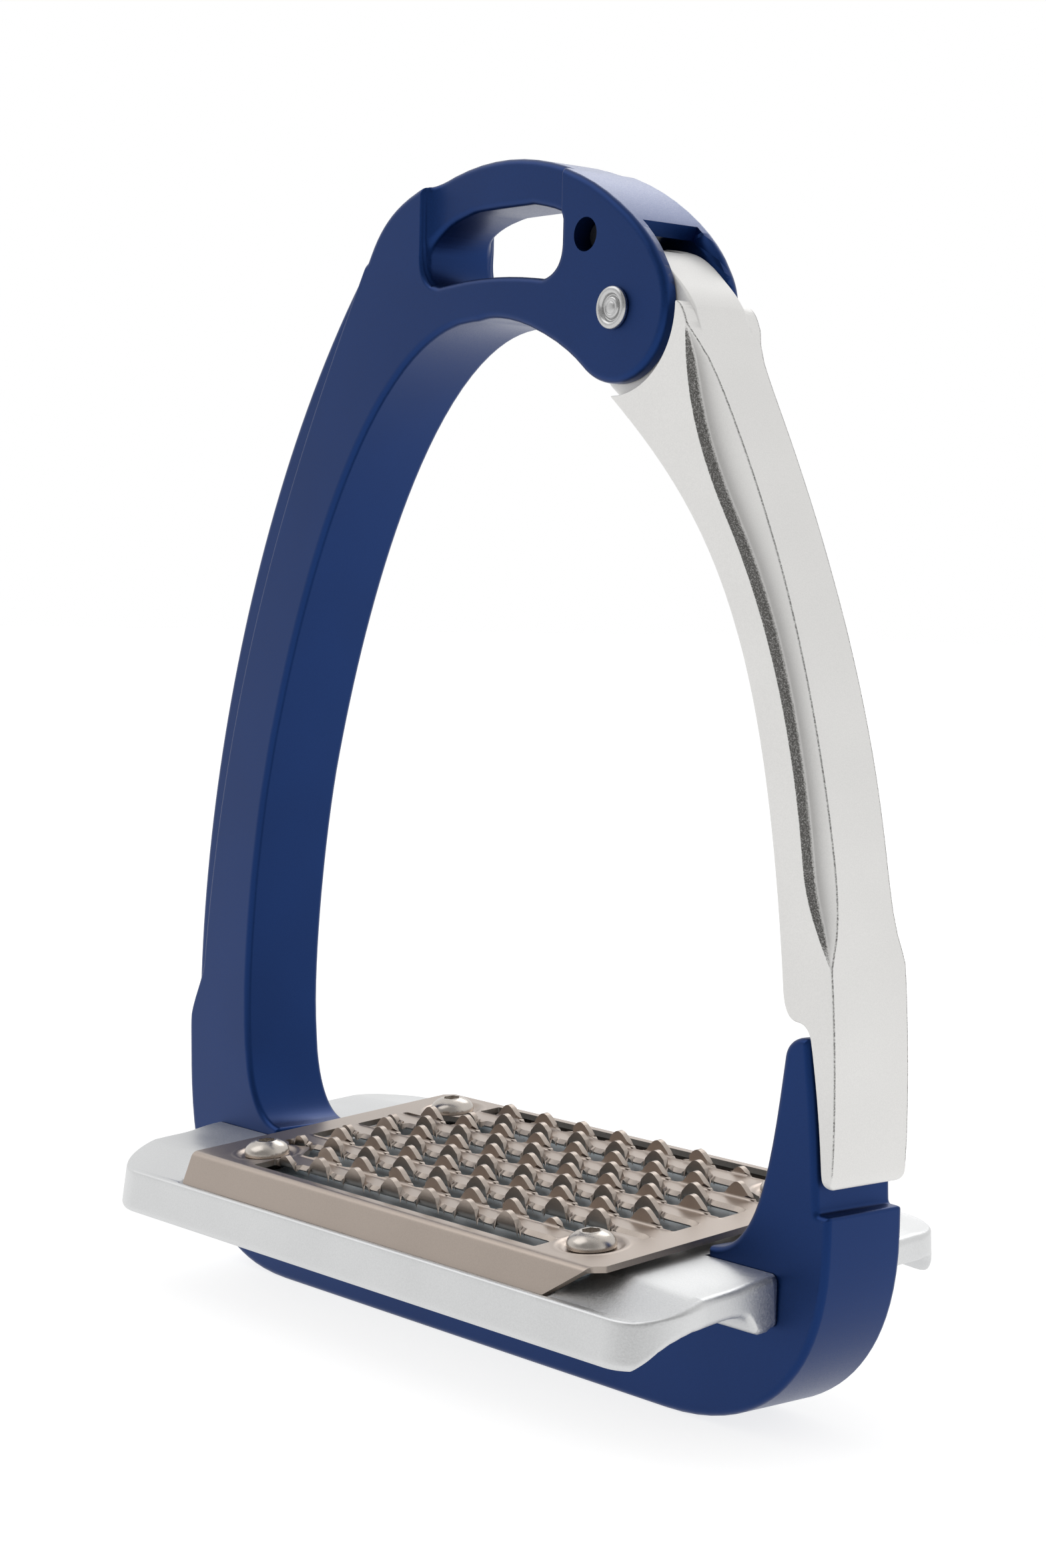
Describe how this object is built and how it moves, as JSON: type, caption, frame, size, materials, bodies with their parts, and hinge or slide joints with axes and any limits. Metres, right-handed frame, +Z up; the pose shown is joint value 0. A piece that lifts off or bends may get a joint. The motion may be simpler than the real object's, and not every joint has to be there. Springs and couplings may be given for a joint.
{
  "type": "stirrup iron",
  "caption": "Riding stirrup iron with a navy frame, a hinged silver release arm that springs shut, a silver footbed and a toothed metal tread.",
  "frame": {"origin": "on the flat underside of the base bar, midway across the iron, in the middle plane of its frame", "axes": "+X across the foot towards the release arm, +Y towards the rear of the footbed, +Z up to the leather bar"},
  "size_m": [0.1484, 0.0606, 0.1743],
  "materials": {
    "frame_coat": "navy satin powder coat over forged aluminium",
    "arm_silver": "bead-blasted silver anodised",
    "footbed_silver": "satin silver cast with a fine grain",
    "tread_steel": "warm grey satin sheet steel",
    "polished_steel": "bright polished steel",
    "bush_bronze": "sintered bearing bronze",
    "spring_steel": "drawn spring wire",
    "black_oxide": "black oxide steel",
    "pad_elastomer": "smooth blue-grey elastomer"
  },
  "bodies": {
    "stirrup": {"frame": "frame_coat", "hinge_pin": "polished_steel", "pin_retainer": "polished_steel", "closing_spring": "spring_steel", "spring_anchor": "black_oxide", "footbed": "footbed_silver", "cushion_pad": "pad_elastomer", "tread_plate": "tread_steel", "tread_screw_front_left": "polished_steel", "tread_screw_front_right": "polished_steel", "tread_screw_rear_left": "polished_steel", "tread_screw_rear_right": "polished_steel", "footbed_screw_left": "black_oxide", "footbed_screw_right": "black_oxide"},
    "arm": {"release_arm": "arm_silver", "hinge_bush_front": "bush_bronze", "hinge_bush_rear": "bush_bronze"}
  },
  "joints": [
    {"name": "arm_hinge", "type": "hinge", "parent": "stirrup", "child": "arm", "pos_m": [0.0279, 0, 0.1511], "axis": [0, -1, 0], "range_deg": [0, 50], "stiffness_Nm_per_rad": 0.12, "springref_deg": -28.65}
  ]
}
